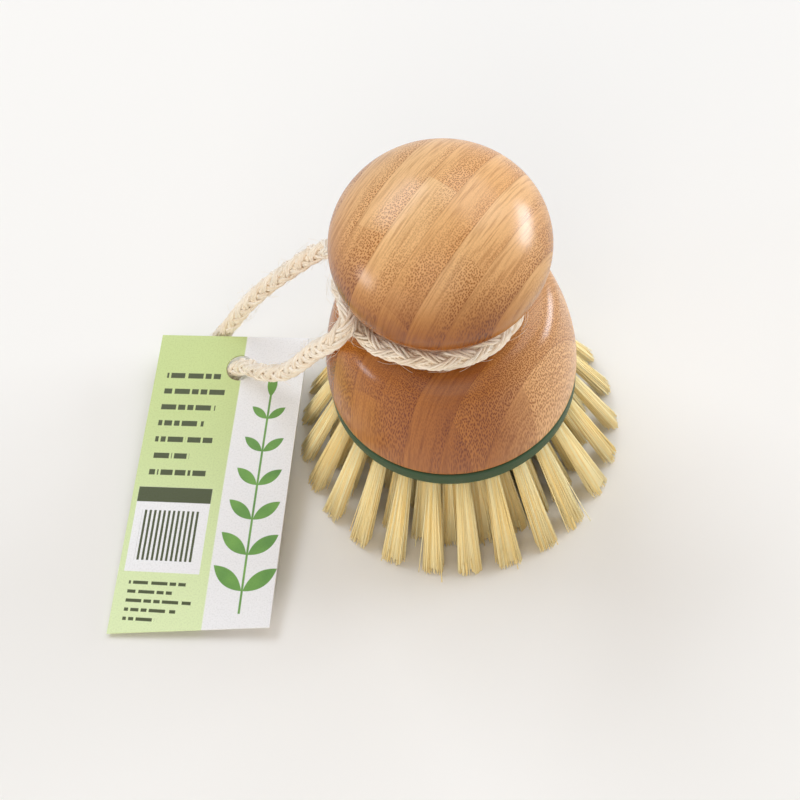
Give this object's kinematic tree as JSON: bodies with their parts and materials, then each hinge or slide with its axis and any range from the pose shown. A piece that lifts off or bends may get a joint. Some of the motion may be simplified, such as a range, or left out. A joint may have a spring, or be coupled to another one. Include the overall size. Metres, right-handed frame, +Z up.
{
  "type": "dish brush",
  "caption": "Palm dish brush: turned bamboo knob handle on a round plate of splayed bristle tufts, with a plaited cord tied round its waist as a hanging loop and a card tag.",
  "frame": {"origin": "on the handle's axis, on the surface that the bristle tips stand on", "axes": "+Z up along the handle's axis, -X towards the side where the cord's loop lies"},
  "size_m": [0.1361, 0.0887, 0.1004],
  "materials": {
    "bamboo": "satin lacquer over laminated bamboo strips",
    "green_plate": "satin dark green",
    "screw_steel": "plain zinc",
    "bristle_fibre": "matte pale yellow plant fibre",
    "cord_fibre": "matte plaited cream fibre with loose hairs",
    "card": "printed uncoated card"
  },
  "bodies": {
    "brush": {"bamboo_handle": "bamboo", "bristle_plate": "green_plate", "plate_screw": "screw_steel", "outer_tufts": "bristle_fibre", "second_tufts": "bristle_fibre", "third_tufts": "bristle_fibre", "inner_tufts": "bristle_fibre"},
    "neck_cord": {"cord_waist_turn": "cord_fibre", "cord_cross_over": "cord_fibre", "cord_knot": "cord_fibre"},
    "cord_loop": {"cord_hanging_loop": "cord_fibre"},
    "tag": {"hang_tag": "card"}
  },
  "joints": [
    {"name": "cord_swivel", "type": "hinge", "parent": "brush", "child": "neck_cord", "pos_m": [0, 0, 0.065], "axis": [0, 0, 1], "continuous": true},
    {"name": "loop_lift", "type": "hinge", "parent": "neck_cord", "child": "cord_loop", "pos_m": [-0.0243, 0.00492, 0.06222], "axis": [0.1673, 0.9844, -0.0535], "range_deg": [0, 90]},
    {"name": "tag_turn", "type": "hinge", "parent": "cord_loop", "child": "tag", "pos_m": [-0.0539, 0.0244, 0.00805], "axis": [-0.0727, -0.0709, 0.9948], "range_deg": [-3, 9]}
  ]
}
